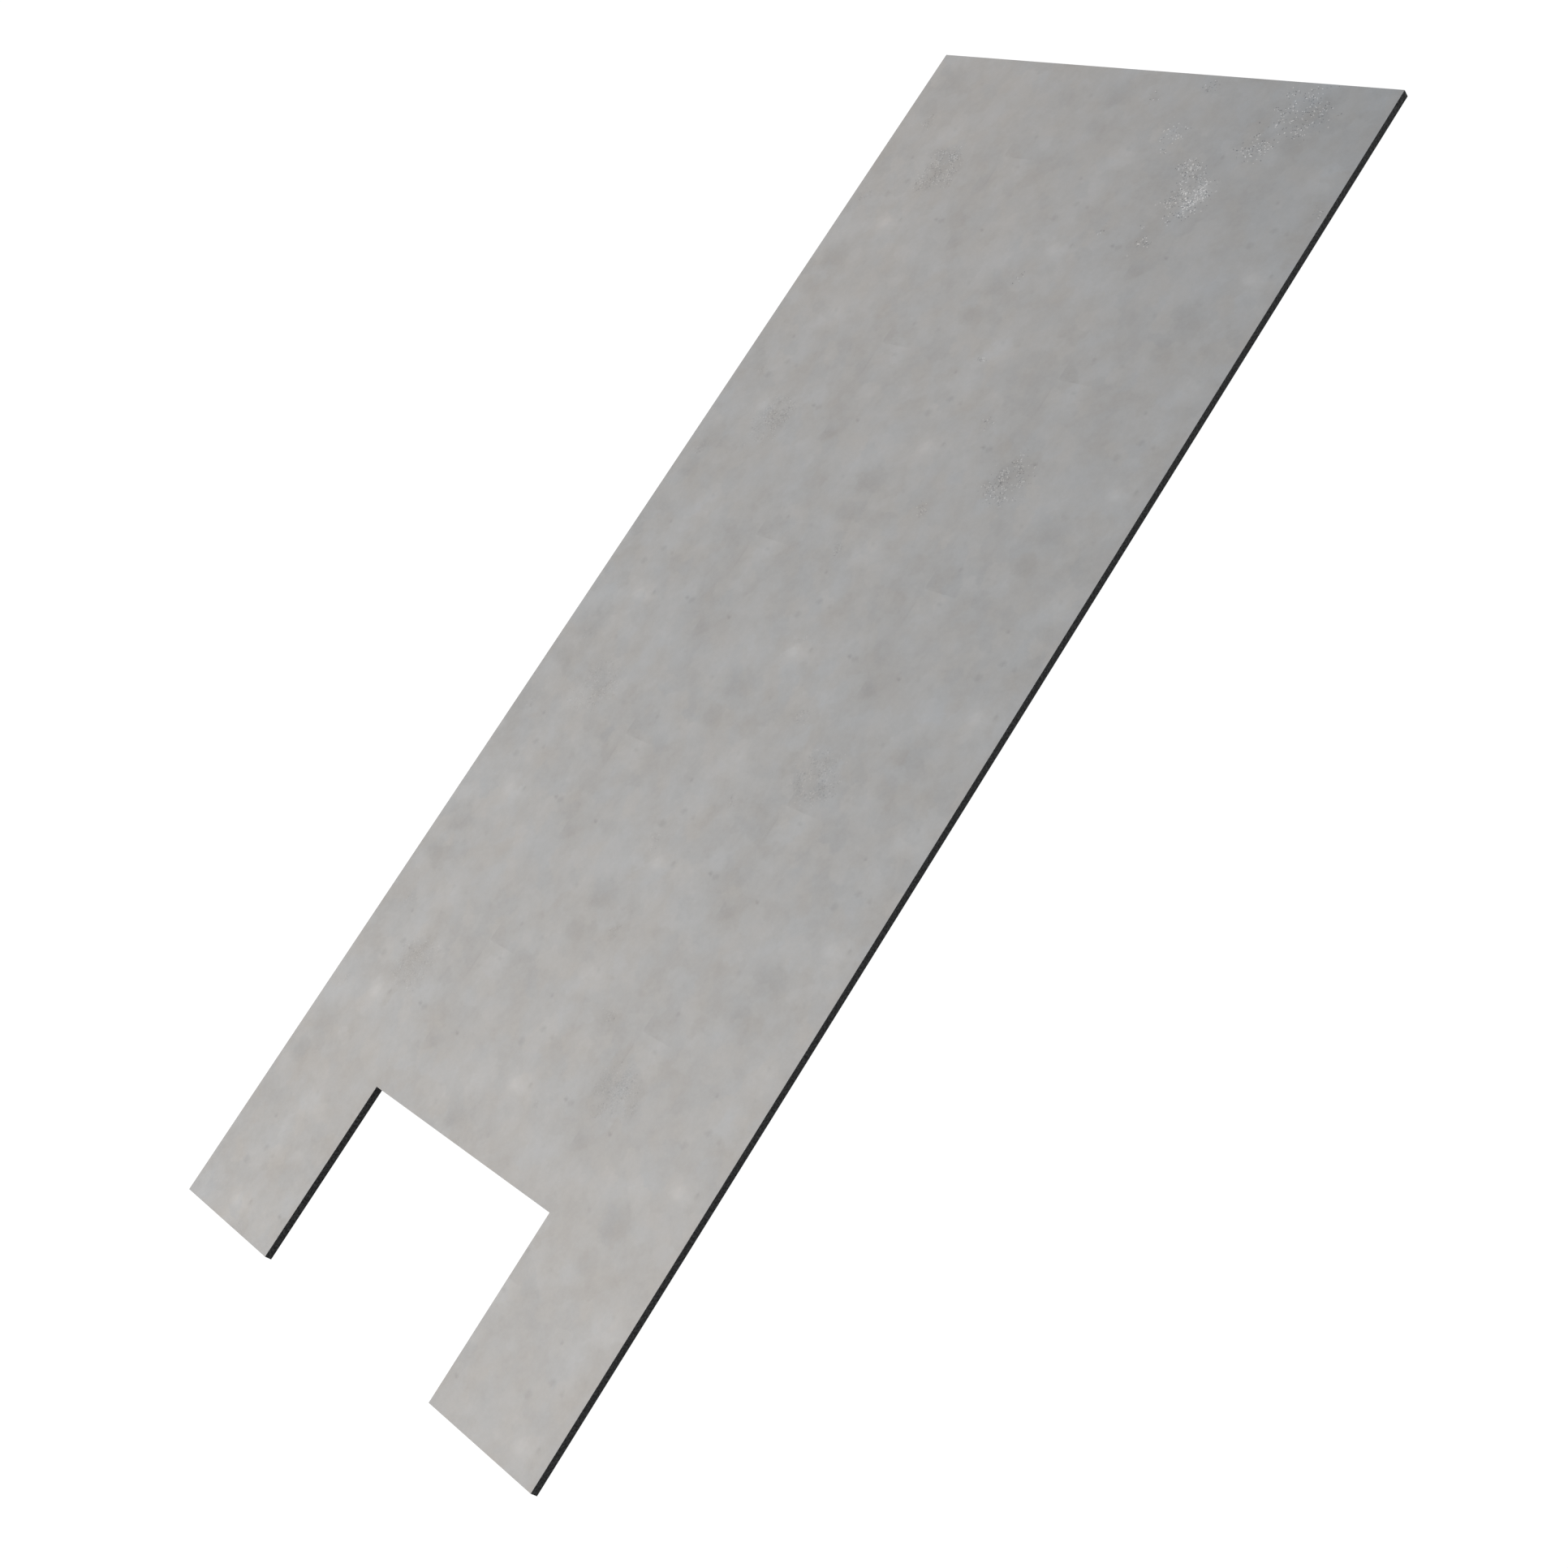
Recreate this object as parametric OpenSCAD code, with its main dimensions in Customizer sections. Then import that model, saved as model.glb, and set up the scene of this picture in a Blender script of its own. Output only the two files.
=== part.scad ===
// Compact laminate board, cut to size, with a rectangular cut-out in one short end.
//
// The board lies flat with its show face up. The origin is the middle of the
// underside, at the centre of the overall rectangle. +Y runs along the length,
// from the two legs beside the cut-out to the plain end, +X runs across the
// width, and +Z points out of the show face. All sizes are in millimetres.
//
// The board is pressed from three layers: a black core that is the same colour
// all through, and a thin printed sheet bonded to each side of it. Every edge
// is a plain saw cut, square to the faces, so the black core shows all round.

/* [Board] */
// Overall length, from the ends of the legs to the plain end
board_length = 2031; // [500:1:3050]
// Overall width
board_width = 826; // [640:1:1300]
// Overall thickness, with both printed sheets
board_thickness = 12; // [6:0.5:20]

/* [Cut-out] */
// Width of the cut-out, across the board
cutout_width = 399; // [50:1:590]
// Depth of the cut-out, in from the ends of the legs
cutout_depth = 264; // [50:1:480]
// Width of the leg on the -X side, which sets where the cut-out sits
left_leg_width = 215; // [40:1:400]

/* [Printed sheets] */
// Thickness of the printed sheet on the show face
face_sheet_thickness = 0.2; // [0.1:0.05:1]
// Thickness of the printed sheet on the underside
back_sheet_thickness = 0.2; // [0.1:0.05:1]

/* [Hidden] */

// Left, lower corner of the overall rectangle in plan
board_left = -board_width / 2;
board_end = -board_length / 2;

// The cut-out starts beside the left leg
cutout_left = board_left + left_leg_width;
// How far the cutter runs on past the ends of the legs
cutter_overrun = 1;

// The layers are stacked from the underside up
core_bottom = back_sheet_thickness;
core_top = board_thickness - face_sheet_thickness;

// Outline of the board in plan, which all three layers share
module board_outline() {
    difference() {
        translate([board_left, board_end])
            square([board_width, board_length]);
        translate([cutout_left, board_end - cutter_overrun])
            square([cutout_width, cutout_depth + cutter_overrun]);
    }
}

// One layer of the board, between two heights above the underside
module layer(bottom, top) {
    translate([0, 0, bottom])
        linear_extrude(height = top - bottom)
            board_outline();
}

// Printed sheet on top: grey, with the cloudy pattern of cast concrete
module face_sheet() {
    color("#a9a8a6") layer(core_top, board_thickness);
}

// Black core, the same colour all through, which every cut edge shows
module core() {
    color("#2d2d2c") layer(core_bottom, core_top);
}

// Printed sheet underneath, which balances the top one and keeps the board flat
module back_sheet() {
    color("#a3a2a0") layer(0, core_bottom);
}

face_sheet();
core();
back_sheet();
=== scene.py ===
import math

import bmesh
import bpy
from mathutils import Matrix, Vector


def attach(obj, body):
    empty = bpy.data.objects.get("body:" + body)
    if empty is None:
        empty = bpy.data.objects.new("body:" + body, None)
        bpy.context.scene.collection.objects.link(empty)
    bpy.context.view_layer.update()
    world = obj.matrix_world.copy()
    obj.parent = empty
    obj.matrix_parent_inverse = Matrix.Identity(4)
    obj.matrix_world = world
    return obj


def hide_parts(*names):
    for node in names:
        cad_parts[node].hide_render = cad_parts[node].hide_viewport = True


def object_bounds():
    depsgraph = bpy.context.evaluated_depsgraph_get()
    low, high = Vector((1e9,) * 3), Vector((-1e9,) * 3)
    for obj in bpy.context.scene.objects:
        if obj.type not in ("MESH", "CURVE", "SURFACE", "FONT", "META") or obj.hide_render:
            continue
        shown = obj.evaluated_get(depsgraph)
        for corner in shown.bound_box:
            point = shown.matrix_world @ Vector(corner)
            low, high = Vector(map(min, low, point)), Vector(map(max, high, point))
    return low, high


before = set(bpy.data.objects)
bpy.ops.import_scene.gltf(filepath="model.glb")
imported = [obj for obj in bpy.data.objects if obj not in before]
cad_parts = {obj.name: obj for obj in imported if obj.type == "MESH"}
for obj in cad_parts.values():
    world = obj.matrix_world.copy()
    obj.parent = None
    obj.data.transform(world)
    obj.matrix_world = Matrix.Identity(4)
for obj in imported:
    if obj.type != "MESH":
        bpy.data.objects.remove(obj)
cad_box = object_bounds()


# Studio: a light table in a pale room, with two softboxes over it. The table glows from below,
# just white, so that no shadow shows on it, and no brighter, which would eat into the edges.

def linear(srgb_hex):
    """An sRGB colour such as "a1a09d" as the linear RGBA that a shader takes."""
    codes = [int(srgb_hex[i:i + 2], 16) / 255 for i in (0, 2, 4)]
    return [c / 12.92 if c <= 0.04045 else ((c + 0.055) / 1.055) ** 2.4 for c in codes] + [1]


def add_node(tree, kind, settings, inputs):
    """Adds a node. An input that is a socket is linked, and any other value is set."""
    made = tree.nodes.new(kind)
    for name, value in settings.items():
        setattr(made, name, value)
    for key, value in inputs.items():
        if isinstance(value, bpy.types.NodeSocket):
            tree.links.new(value, made.inputs[key])
        else:
            made.inputs[key].default_value = value
    return made


def new_material(name):
    """An empty node material: its tree, its output node and itself."""
    material = bpy.data.materials.new(name)
    material.use_nodes = True
    tree = material.node_tree
    tree.nodes.clear()
    return tree, tree.nodes.new("ShaderNodeOutputMaterial"), material


TABLE_REACH = 30
OPAL_GREY = "404040"
TABLE_GLOW = 1

tree, output, opal_acrylic = new_material("backlit_opal_acrylic")
# Opal acrylic lets most of the room's light through, and looks white by the lamps below it.
table_shader = add_node(tree, "ShaderNodeBsdfPrincipled", {}, {
    "Base Color": linear(OPAL_GREY), "Roughness": 0.9, "Specular IOR Level": 0.1,
    "Emission Color": linear("ffffff"), "Emission Strength": TABLE_GLOW})
tree.links.new(table_shader.outputs["BSDF"], output.inputs["Surface"])

table_mesh = bpy.data.meshes.new("light_table")
table_mesh.from_pydata(
    [(x * TABLE_REACH, y * TABLE_REACH, 0) for x, y in ((-1, -1), (1, -1), (1, 1), (-1, 1))],
    [], [(0, 1, 2, 3)])
table_mesh.materials.append(opal_acrylic)
light_table = bpy.data.objects.new("light_table", table_mesh)
bpy.context.scene.collection.objects.link(light_table)

# The room: white walls all round, under a dimmer, cooler ceiling. A colour Mix node takes its
# two colours at inputs 6 and 7, and a number Mix node its two numbers at inputs 2 and 3.
WALL_WHITE = "ffffff"
CEILING_GREY = "7b92a6"
WALL_TOP = math.sin(math.radians(20))
CEILING_START = math.sin(math.radians(32))

room = bpy.data.worlds.new("pale_room")
room.use_nodes = True
room_tree = room.node_tree
sky_place = add_node(room_tree, "ShaderNodeTexCoord", {}, {})
height = add_node(room_tree, "ShaderNodeSeparateXYZ", {}, {"Vector": sky_place.outputs["Generated"]})
fade = add_node(room_tree, "ShaderNodeMapRange", {"interpolation_type": "SMOOTHSTEP"}, {
    "Value": height.outputs["Z"], "From Min": WALL_TOP, "From Max": CEILING_START})
room_tone = add_node(room_tree, "ShaderNodeMix", {"data_type": "RGBA"}, {
    "Factor": fade.outputs["Result"], 6: linear(WALL_WHITE), 7: linear(CEILING_GREY)})
room_tree.links.new(room_tone.outputs[2], room_tree.nodes["Background"].inputs["Color"])
bpy.context.scene.world = room

# The softboxes: a large one over the cut-out end, and a weaker, low one beside the plain end.
# Each row: name, place, the point it faces, side of its square, watts and colour.
SOFTBOXES = [
    ("softbox_over_legs", Vector((-0.5, -1.05, 2.05)), Vector((0, -0.2, 0)), 1.8, 47, "fff1e2"),
    ("softbox_low", Vector((-1.6, 1.7, 1.3)), Vector((0, 0.2, 0)), 1.4, 10.5, "ffe7ce"),
]

for name, softbox_place, softbox_aim, side, watts, tint in SOFTBOXES:
    light = bpy.data.lights.new(name, "AREA")
    light.shape = "SQUARE"
    light.size = side
    light.energy = watts
    light.color = linear(tint)[:3]
    softbox = bpy.data.objects.new(name, light)
    softbox.location = softbox_place
    softbox.rotation_mode = "QUATERNION"
    softbox.rotation_quaternion = (softbox_aim - softbox_place).to_track_quat("-Z", "Y")
    softbox.visible_camera = False
    bpy.context.scene.collection.objects.link(softbox)

# The camera: a 50 mm lens on a 36 mm frame, high up out from the right side, rolled on its axis.
CAMERA_PLACE = Vector((2.085, -0.586, 1.963))
CAMERA_AIM = Vector((0.144, -0.144, 0.012))
CAMERA_ROLL = math.radians(-48.36)

lens = bpy.data.cameras.new("camera")
lens.lens = 50
lens.sensor_width = 36
camera = bpy.data.objects.new("camera", lens)
camera.location = CAMERA_PLACE
camera.rotation_mode = "QUATERNION"
level_view = (CAMERA_AIM - CAMERA_PLACE).to_track_quat("-Z", "Y")
camera.rotation_quaternion = level_view @ Matrix.Rotation(CAMERA_ROLL, 3, "Z").to_quaternion()
bpy.context.scene.collection.objects.link(camera)
bpy.context.scene.camera = camera
bpy.context.scene.view_settings.view_transform = "Standard"


# Core: about fifty kraft papers soaked in black phenolic resin and cured into one solid.
# The board was cut to size with a fine saw after pressing, so its four sides and the three
# walls of the cut-out are bare, matt and black.
MM = 0.001
# The layer's grid of corners is three cells by two, and the cut-out takes this one.
CUTOUT_CELL = (1, 0)


def steps_of(node_name, axis):
    """The levels along one axis that a flat CAD node's corners lie on, lowest first."""
    places = [corner.co[axis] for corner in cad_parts[node_name].data.vertices]
    return sorted({round(place, 6) for place in places})


def layer_of_board(name, node_name, arris, arris_side):
    """One layer of the board as a closed mesh of quads, with the arris of its outer face eased.

    arris_side is 1 for the top face, -1 for the underside, or 0 for none."""
    xs, ys, zs = (steps_of(node_name, axis) for axis in range(3))
    layer = bmesh.new()
    grid = {(x, y): layer.verts.new((x, y, zs[0])) for x in xs for y in ys}
    for i, (left, right) in enumerate(zip(xs, xs[1:])):
        for j, (front, back) in enumerate(zip(ys, ys[1:])):
            if (i, j) != CUTOUT_CELL:
                corners = (left, front), (left, back), (right, back), (right, front)
                layer.faces.new([grid[corner] for corner in corners])
    raised = bmesh.ops.extrude_face_region(layer, geom=layer.faces[:])["geom"]
    top_corners = [part for part in raised if isinstance(part, bmesh.types.BMVert)]
    bmesh.ops.translate(layer, verts=top_corners, vec=(0, 0, zs[1] - zs[0]))
    if arris_side:
        outer = zs[1] if arris_side > 0 else zs[0]
        rim = [edge for edge in layer.edges
               if all(math.isclose(corner.co.z, outer, abs_tol=1e-6) for corner in edge.verts)
               and any(abs(face.normal.z) < 0.5 for face in edge.link_faces)]
        bmesh.ops.bevel(layer, geom=rim, offset=arris, segments=2, affect="EDGES", profile=0.5)
    bmesh.ops.recalc_face_normals(layer, faces=layer.faces)
    mesh = bpy.data.meshes.new(name)
    layer.to_mesh(mesh)
    layer.free()
    made = bpy.data.objects.new(name, mesh)
    bpy.context.scene.collection.objects.link(made)
    return made


CORE_BLACK = "0b0b0b"
CORE_FLECK = "3e3e3e"
FLECK_PITCH = 3.2 * MM
FLECK_START = 0.40
FLECK_FULL = 0.80
SAW_RELIEF = 0.05 * MM

tree, output, sawn_core = new_material("sawn_black_phenolic_core")
# Phenolic laminate cut by a saw: dull black, with torn paper fibres that show as grey flecks.
# The torn surface scatters what it would mirror, so it mirrors far less than a polished one.
# A softwood kraft fibre is about 3 mm long, and the flecks lie about as far apart.
place = add_node(tree, "ShaderNodeTexCoord", {}, {}).outputs["Object"]
flecks = add_node(tree, "ShaderNodeTexNoise", {}, {
    "Vector": place, "Scale": 1 / FLECK_PITCH, "Detail": 2, "Roughness": 0.7})
fleck_tone = add_node(tree, "ShaderNodeMapRange", {}, {
    "Value": flecks.outputs["Fac"], "From Min": FLECK_START, "From Max": FLECK_FULL})
core_colour = add_node(tree, "ShaderNodeMix", {"data_type": "RGBA"}, {
    "Factor": fleck_tone.outputs["Result"], 6: linear(CORE_BLACK), 7: linear(CORE_FLECK)})
saw_marks = add_node(tree, "ShaderNodeBump", {}, {
    "Height": flecks.outputs["Fac"], "Strength": 0.3, "Distance": SAW_RELIEF})
core_shader = add_node(tree, "ShaderNodeBsdfPrincipled", {}, {
    "Base Color": core_colour.outputs[2], "Normal": saw_marks.outputs["Normal"],
    "Roughness": 0.65, "IOR": 1.6, "Specular IOR Level": 0.1})
tree.links.new(core_shader.outputs["BSDF"], output.inputs["Surface"])

core = layer_of_board("black_core", "core", 0, 0)
core.data.materials.append(sawn_core)
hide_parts("core")
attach(core, "root")


# Printed sheets: melamine-soaked paper, printed with a cast-concrete pattern and pressed to
# the core under a clear overlay, against a plate with sandy spots in it. The same sheet backs
# the board, so that it stays flat. The saw's sharp arris is just broken by hand.
SHEET_ARRIS = 0.1 * MM

tree, output, printed_melamine = new_material("matt_melamine_concrete_print")
# Melamine film over concrete-grey ink: mottled like cast concrete, but flat and matt.
place = add_node(tree, "ShaderNodeTexCoord", {}, {}).outputs["Object"]

# The printing cylinder and the press plate each repeat their pattern, on grids of their own.
# Each grid has one repeat centred on the middle of the board.
PRINT_REPEAT = 337 * MM
PLATE_REPEAT = 466 * MM

print_place = add_node(tree, "ShaderNodeVectorMath", {"operation": "WRAP"}, {
    0: place, 1: (PRINT_REPEAT / 2,) * 3, 2: (-PRINT_REPEAT / 2,) * 3}).outputs["Vector"]
plate_place = add_node(tree, "ShaderNodeVectorMath", {"operation": "WRAP"}, {
    0: place, 1: (PLATE_REPEAT / 2,) * 3, 2: (-PLATE_REPEAT / 2,) * 3}).outputs["Vector"]

# Clouds of dried cement, from a hand's width down to a few millimetres. They are drawn on a
# torus as long round as the print's repeat, so that they have no seam.
CLOUD_SIZE = 130 * MM
CLOUD_DEPTH = 0.62
TINT_CLOUD_SIZE = 60 * MM

angles = add_node(tree, "ShaderNodeVectorMath", {"operation": "SCALE"}, {
    0: place, "Scale": math.tau / PRINT_REPEAT}).outputs["Vector"]
ring_radius = PRINT_REPEAT / math.tau
cosines = add_node(tree, "ShaderNodeVectorMath", {"operation": "COSINE"}, {0: angles})
cosines = add_node(tree, "ShaderNodeVectorMath", {"operation": "SCALE"}, {
    0: cosines.outputs["Vector"], "Scale": ring_radius})
sines = add_node(tree, "ShaderNodeVectorMath", {"operation": "SINE"}, {0: angles})
sines = add_node(tree, "ShaderNodeVectorMath", {"operation": "SCALE"}, {
    0: sines.outputs["Vector"], "Scale": ring_radius})
cos_xyz = add_node(tree, "ShaderNodeSeparateXYZ", {}, {"Vector": cosines.outputs["Vector"]})
sin_xyz = add_node(tree, "ShaderNodeSeparateXYZ", {}, {"Vector": sines.outputs["Vector"]})
torus_place = add_node(tree, "ShaderNodeCombineXYZ", {}, {
    "X": cos_xyz.outputs["X"], "Y": sin_xyz.outputs["X"], "Z": cos_xyz.outputs["Y"]}).outputs["Vector"]
clouds = add_node(tree, "ShaderNodeTexNoise", {"noise_dimensions": "4D"}, {
    "Vector": torus_place, "W": sin_xyz.outputs["Y"], "Scale": 1 / CLOUD_SIZE,
    "Detail": 6, "Roughness": 0.84})
tint_clouds = add_node(tree, "ShaderNodeTexNoise", {"noise_dimensions": "4D"}, {
    "Vector": torus_place, "W": sin_xyz.outputs["Y"], "Scale": 1 / TINT_CLOUD_SIZE,
    "Detail": 3, "Roughness": 0.7})
brightness = add_node(tree, "ShaderNodeMath", {"operation": "MULTIPLY_ADD"}, {
    0: clouds.outputs["Fac"], 1: CLOUD_DEPTH, 2: 1 - CLOUD_DEPTH / 2}).outputs["Value"]


def wander(where, noise_place, size, reach):
    """The places in where, each moved by up to about half of reach, by noise of the given size."""
    noise = add_node(tree, "ShaderNodeTexNoise", {}, {
        "Vector": noise_place, "Scale": 1 / size, "Detail": 3, "Roughness": 0.6})
    shift = add_node(tree, "ShaderNodeVectorMath", {"operation": "SUBTRACT"}, {
        0: noise.outputs["Color"], 1: (0.5, 0.5, 0.5)})
    return add_node(tree, "ShaderNodeVectorMath", {"operation": "MULTIPLY_ADD"}, {
        0: shift.outputs["Vector"], 1: (reach, reach, reach), 2: where}).outputs["Vector"]


# Trowel patches: each a shade lighter or darker and warmer or cooler, as a trowel smeared it.
PATCH_SIZE = 26 * MM
PATCH_DEPTH = 0.07
PATCH_EDGE_BREAK = 16 * MM

patch_place = wander(place, place, PATCH_EDGE_BREAK, 2 * PATCH_EDGE_BREAK)
patches = add_node(tree, "ShaderNodeTexVoronoi", {"voronoi_dimensions": "2D", "feature": "SMOOTH_F1"}, {
    "Vector": patch_place, "Scale": 1 / PATCH_SIZE, "Smoothness": 0.4})
patch_draw = add_node(tree, "ShaderNodeSeparateColor", {}, {"Color": patches.outputs["Color"]})
patch_change = add_node(tree, "ShaderNodeMath", {"operation": "MULTIPLY_ADD"}, {
    0: patch_draw.outputs["Red"], 1: PATCH_DEPTH, 2: -PATCH_DEPTH / 2}).outputs["Value"]
brightness = add_node(tree, "ShaderNodeMath", {"operation": "ADD"}, {
    0: brightness, 1: patch_change}).outputs["Value"]


def spot(where, across, along, radius, solid):
    """1 in a round spot and 0 outside its radius. solid is the share of the radius that is all 1."""
    offset = add_node(tree, "ShaderNodeVectorMath", {"operation": "SUBTRACT"}, {
        0: where, 1: (across, along, 0)})
    flat = add_node(tree, "ShaderNodeVectorMath", {"operation": "MULTIPLY"}, {
        0: offset.outputs["Vector"], 1: (1, 1, 0)})
    away = add_node(tree, "ShaderNodeVectorMath", {"operation": "LENGTH"}, {0: flat.outputs["Vector"]})
    return add_node(tree, "ShaderNodeMapRange", {"interpolation_type": "SMOOTHSTEP"}, {
        "Value": away.outputs["Value"], "From Min": radius * solid, "From Max": radius,
        "To Min": 1, "To Max": 0}).outputs["Result"]


# Near the corners of each repeat the print doesn't join up, and leaves a faint seam there.
SEAM_CLOUD_SIZE = 45 * MM
SEAM_DEPTH = 0.25
SEAM_REACH = 110 * MM

seam_clouds = add_node(tree, "ShaderNodeTexNoise", {}, {
    "Vector": print_place, "Scale": 1 / SEAM_CLOUD_SIZE, "Detail": 3, "Roughness": 0.6})
folded_place = add_node(tree, "ShaderNodeVectorMath", {"operation": "ABSOLUTE"}, {0: print_place})
near_corner = spot(folded_place.outputs["Vector"], PRINT_REPEAT / 2, PRINT_REPEAT / 2, SEAM_REACH,
                   solid=0.4)
seam_change = add_node(tree, "ShaderNodeMath", {"operation": "MULTIPLY_ADD"}, {
    0: seam_clouds.outputs["Fac"], 1: SEAM_DEPTH, 2: -SEAM_DEPTH / 2}).outputs["Value"]
brightness = add_node(tree, "ShaderNodeMath", {"operation": "MULTIPLY_ADD"}, {
    0: seam_change, 1: near_corner, 2: brightness}).outputs["Value"]

# Blots in the print, with soft, uneven edges, as in cement that dried unevenly. Each row, in
# millimetres: its middle across and along one repeat, its radius, and its change of brightness.
BLOTS = [
    (25, 28, 14, 0.12),
    (27, 27, 34, 0.08),
    (15, 105, 8, -0.12),
    (37, 103, 6, -0.10),
    (-7, 78, 9, -0.12),
    (130, 46, 8, -0.12),
    (-160, 15, 22, -0.10),
    (-30, -40, 42, -0.10),
    (-140, 150, 48, 0.09),
    (-85, 75, 22, 0.05),
    (85, 128, 18, 0.06),
    (-40, -100, 28, -0.05),
    (45, -145, 42, 0.07),
]
BLOT_EDGE_BREAK = 8 * MM

blot_place = wander(print_place, print_place, BLOT_EDGE_BREAK, BLOT_EDGE_BREAK)
for across, along, radius, change in BLOTS:
    blot = spot(blot_place, across * MM, along * MM, radius * MM, solid=0.1)
    brightness = add_node(tree, "ShaderNodeMath", {"operation": "MULTIPLY_ADD"}, {
        0: blot, 1: change, 2: brightness}).outputs["Value"]

# Pinholes: the print of small air holes, about 5 mm across to half their depth. Some are darker.
PINHOLE_PITCH = 60 * MM
PINHOLE_SHARE = 0.6
PINHOLE_RADIUS = 5.5 * MM
PINHOLE_DARK = 0.18

pinholes = add_node(tree, "ShaderNodeTexVoronoi", {"voronoi_dimensions": "2D"}, {
    "Vector": blot_place, "Scale": 1 / PINHOLE_PITCH})
pinhole_draw = add_node(tree, "ShaderNodeSeparateColor", {}, {"Color": pinholes.outputs["Color"]})
pinhole_depth = add_node(tree, "ShaderNodeMapRange", {}, {
    "Value": pinhole_draw.outputs["Red"], "From Min": 1 - PINHOLE_SHARE, "From Max": 1,
    "To Min": 0, "To Max": PINHOLE_DARK}).outputs["Result"]
pinhole_change = add_node(tree, "ShaderNodeMapRange", {"interpolation_type": "SMOOTHSTEP"}, {
    "Value": pinholes.outputs["Distance"], "From Min": 0, "From Max": PINHOLE_RADIUS / PINHOLE_PITCH,
    "To Min": -1, "To Max": 0}).outputs["Result"]
brightness = add_node(tree, "ShaderNodeMath", {"operation": "MULTIPLY_ADD"}, {
    0: pinhole_depth, 1: pinhole_change, 2: brightness}).outputs["Value"]

# Sandy spots, where bare grains stand in the press plate, broken up as where a trowel dragged
# the sand. Each row: middle across and along one repeat and radius, in millimetres, and how
# thickly the grains lie, from 0 to 1.
PLATE_SANDY_SPOTS = [
    (190, -120, 50, 0.95),
    (104, -50, 14, 0.6),
    (80, -190, 12, 0.6),
    (-6, 184, 12, 0.6),
    (30, 46, 12, 0.6),
]
# These are only near one corner of the plain end, and their places are counted from it.
CORNER_SANDY_SPOTS = [
    (-125, -50, 62, 0.5),
    (-165, -110, 36, 0.6),
    (-310, -100, 28, 0.4),
    (-245, -160, 26, 1),
    (-255, -280, 26, 0.6),
    (-300, -20, 16, 0.5),
    (-20, -200, 14, 0.5),
]
SANDY_CORNER = (cad_box[1].x, cad_box[1].y, 0)
SANDY_EDGE_BREAK = 30 * MM
CLUMP_SIZE = 18 * MM
CLUMP_START = 0.37
CLUMP_FULL = 0.60

corner_place = add_node(tree, "ShaderNodeVectorMath", {"operation": "SUBTRACT"}, {
    0: place, 1: SANDY_CORNER}).outputs["Vector"]
sandy_ground = 0.0
for spots, where in ((PLATE_SANDY_SPOTS, plate_place), (CORNER_SANDY_SPOTS, corner_place)):
    broken_place = wander(where, place, SANDY_EDGE_BREAK, 2 * SANDY_EDGE_BREAK)
    for across, along, radius, thickly in spots:
        sandy_spot = spot(broken_place, across * MM, along * MM, radius * MM, solid=0.3)
        grains_there = add_node(tree, "ShaderNodeMath", {"operation": "MULTIPLY"}, {
            0: sandy_spot, 1: thickly}).outputs["Value"]
        sandy_ground = add_node(tree, "ShaderNodeMath", {"operation": "MAXIMUM"}, {
            0: grains_there, 1: sandy_ground}).outputs["Value"]
clumps = add_node(tree, "ShaderNodeTexNoise", {}, {
    "Vector": place, "Scale": 1 / CLUMP_SIZE, "Detail": 3, "Roughness": 0.6})
in_clump = add_node(tree, "ShaderNodeMapRange", {}, {
    "Value": clumps.outputs["Fac"], "From Min": CLUMP_START, "From Max": CLUMP_FULL})
sandy = add_node(tree, "ShaderNodeMath", {"operation": "MULTIPLY"}, {
    0: sandy_ground, 1: in_clump.outputs["Result"]}).outputs["Value"]

# The ground of a sandy spot is darker than the print. Around a place counted from that corner too, the sand
# between the grains is painted paler, as a painted sheen.
GROUND_DARK = -0.07
SHEEN_SPOT_ACROSS = -215 * MM
SHEEN_SPOT_ALONG = -150 * MM
SHEEN_SPOT_REACH = 180 * MM
PAINTED_SHEEN_PALE = 0.20

brightness = add_node(tree, "ShaderNodeMath", {"operation": "MULTIPLY_ADD"}, {
    0: sandy_ground, 1: GROUND_DARK, 2: brightness}).outputs["Value"]
# Painted sheen: the sandy clumps are painted paler, most at the middle of this place.
sheen_spot = spot(corner_place, SHEEN_SPOT_ACROSS, SHEEN_SPOT_ALONG, SHEEN_SPOT_REACH, solid=0.4)
painted_sheen = add_node(tree, "ShaderNodeMath", {"operation": "MULTIPLY"}, {
    0: sandy, 1: sheen_spot}).outputs["Value"]
brightness = add_node(tree, "ShaderNodeMath", {"operation": "MULTIPLY_ADD"}, {
    0: painted_sheen, 1: PAINTED_SHEEN_PALE, 2: brightness}).outputs["Value"]

# Grains of coarse sand are about 1 mm each. They are drawn 1.4 mm apart, so that they show
# from afar. Each is a small flat facet, tilted its own way.
GRAIN_PITCH = 1.4 * MM
GRAIN_SHARE = 0.8
GRAIN_TILT = 0.5

grains = add_node(tree, "ShaderNodeTexVoronoi", {"voronoi_dimensions": "2D"}, {
    "Vector": place, "Scale": 1 / GRAIN_PITCH})
grain_draw = add_node(tree, "ShaderNodeSeparateColor", {}, {"Color": grains.outputs["Color"]})
grain_room = add_node(tree, "ShaderNodeMath", {"operation": "MULTIPLY"}, {
    0: sandy, 1: GRAIN_SHARE}).outputs["Value"]
is_grain = add_node(tree, "ShaderNodeMath", {"operation": "LESS_THAN"}, {
    0: grain_draw.outputs["Blue"], 1: grain_room}).outputs["Value"]
facet_lean = add_node(tree, "ShaderNodeVectorMath", {"operation": "SUBTRACT"}, {
    0: grains.outputs["Color"], 1: (0.5, 0.5, 0.5)})
facet_lean = add_node(tree, "ShaderNodeVectorMath", {"operation": "MULTIPLY"}, {
    0: facet_lean.outputs["Vector"], 1: (GRAIN_TILT, GRAIN_TILT, 0)})
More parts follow.
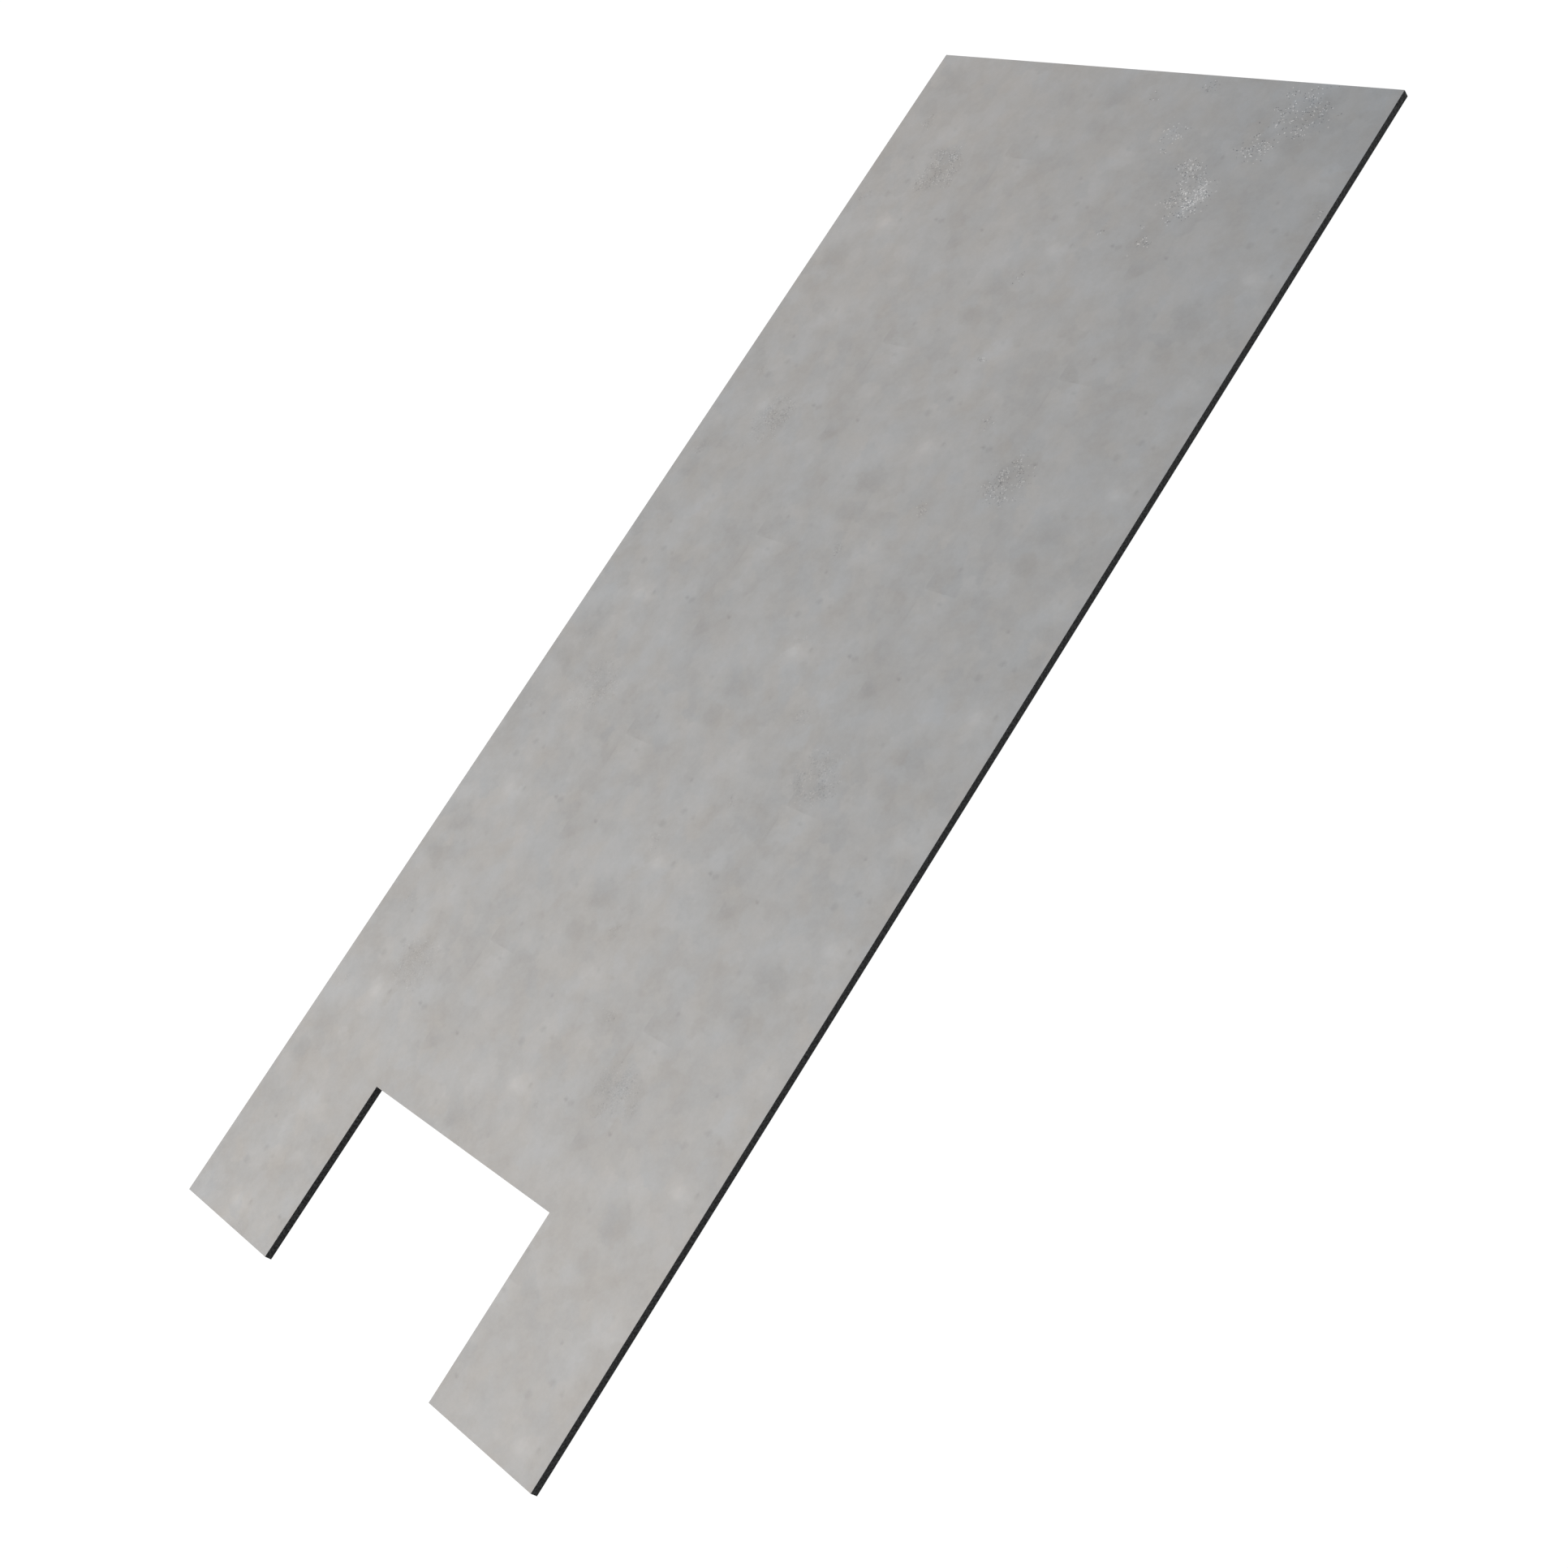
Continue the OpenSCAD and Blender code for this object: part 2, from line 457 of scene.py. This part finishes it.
facet_lean = add_node(tree, "ShaderNodeVectorMath", {"operation": "SCALE"}, {
    0: facet_lean.outputs["Vector"], "Scale": is_grain})
flat_normal = add_node(tree, "ShaderNodeNewGeometry", {}, {}).outputs["Normal"]
grain_normal = add_node(tree, "ShaderNodeVectorMath", {"operation": "ADD"}, {
    0: flat_normal, 1: facet_lean.outputs["Vector"]})
grain_normal = add_node(tree, "ShaderNodeVectorMath", {"operation": "NORMALIZE"}, {
    0: grain_normal.outputs["Vector"]})

# A fifth of the grains are painted pale, as painted glints, and another fifth are painted dark, as painted
# shade on their relief. Both are strongest near that corner, and fade away from it.
GLINT_GRAIN_SHARE = 0.2
GLINT_PAINTED_STRONGEST = 0.72
GLINT_PAINTED_FAINTEST = 0.12
SHADED_GRAIN_SHARE = 0.2
SHADE_PAINTED_STRONGEST = -0.40
SHADE_PAINTED_FAINTEST = -0.10
FADE_START = 300 * MM
FADE_END = 1100 * MM

from_corner = add_node(tree, "ShaderNodeVectorMath", {"operation": "LENGTH"}, {
    0: corner_place}).outputs["Value"]
is_glint_grain = add_node(tree, "ShaderNodeMath", {"operation": "LESS_THAN"}, {
    0: grain_draw.outputs["Red"], 1: GLINT_GRAIN_SHARE}).outputs["Value"]
is_shaded_grain = add_node(tree, "ShaderNodeMath", {"operation": "GREATER_THAN"}, {
    0: grain_draw.outputs["Red"], 1: 1 - SHADED_GRAIN_SHARE}).outputs["Value"]
# Each kind of grain adds its painted glint or painted shade to the brightness, less the farther it lies
# from that corner.
for is_kind, strongest, faintest in (
        (is_glint_grain, GLINT_PAINTED_STRONGEST, GLINT_PAINTED_FAINTEST), (is_shaded_grain, SHADE_PAINTED_STRONGEST, SHADE_PAINTED_FAINTEST)):
    kind_of_grain = add_node(tree, "ShaderNodeMath", {"operation": "MULTIPLY"}, {
        0: is_grain, 1: is_kind}).outputs["Value"]
    grain_change = add_node(tree, "ShaderNodeMapRange", {"interpolation_type": "SMOOTHSTEP"}, {
        "Value": from_corner, "From Min": FADE_START, "From Max": FADE_END,
        "To Min": strongest, "To Max": faintest}).outputs["Result"]
    brightness = add_node(tree, "ShaderNodeMath", {"operation": "MULTIPLY_ADD"}, {
        0: kind_of_grain, 1: grain_change, 2: brightness}).outputs["Value"]

# The ink: a grey that drifts between warm and cool, and takes the brightness from all of that.
# PATCH_TINT is the trowel patches' share in the drift, and clouds of its own have the rest.
WARM_GREY = "a39f9a"
COOL_GREY = "9a9ea2"
PATCH_TINT = 0.2

tint = add_node(tree, "ShaderNodeMix", {"data_type": "FLOAT"}, {
    "Factor": PATCH_TINT, 2: tint_clouds.outputs["Fac"], 3: patch_draw.outputs["Green"]})
grey = add_node(tree, "ShaderNodeMix", {"data_type": "RGBA"}, {
    "Factor": tint.outputs[0], 6: linear(WARM_GREY), 7: linear(COOL_GREY)})
ink = add_node(tree, "ShaderNodeVectorMath", {"operation": "SCALE"}, {
    0: grey.outputs[2], "Scale": brightness})

# The film: hard, clear and matt, which gives a broad soft sheen. The plate leaves a faint
# pearled texture in it, and its sandy spots are a little rougher. Such pearls are under 1 mm,
# and are drawn at 2 mm, so that they show.
PEARL_SIZE = 2 * MM
PEARL_HEIGHT = 0.01 * MM
FILM_ROUGHNESS = 0.47
SANDY_ROUGHNESS = 0.53

pearls = add_node(tree, "ShaderNodeTexNoise", {}, {
    "Vector": place, "Scale": 1 / PEARL_SIZE, "Detail": 1, "Roughness": 0.5})
pearled_normal = add_node(tree, "ShaderNodeBump", {}, {
    "Height": pearls.outputs["Fac"], "Strength": 0.5, "Distance": PEARL_HEIGHT,
    "Normal": grain_normal.outputs["Vector"]})
film_roughness = add_node(tree, "ShaderNodeMapRange", {}, {
    "Value": sandy, "To Min": FILM_ROUGHNESS, "To Max": SANDY_ROUGHNESS})
film = add_node(tree, "ShaderNodeBsdfPrincipled", {}, {
    "Base Color": ink.outputs["Vector"], "Normal": pearled_normal.outputs["Normal"],
    "Roughness": film_roughness.outputs["Result"], "IOR": 1.55})
tree.links.new(film.outputs["BSDF"], output.inputs["Surface"])

for node_name, slot_name, outer_side in (("back_sheet", "back_decor", -1), ("face_sheet", "face_decor", 1)):
    sheet = layer_of_board(f"printed_{node_name}", node_name, SHEET_ARRIS, outer_side)
    sheet.data.materials.append(printed_melamine)
    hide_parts(node_name)
    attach(sheet, "root")
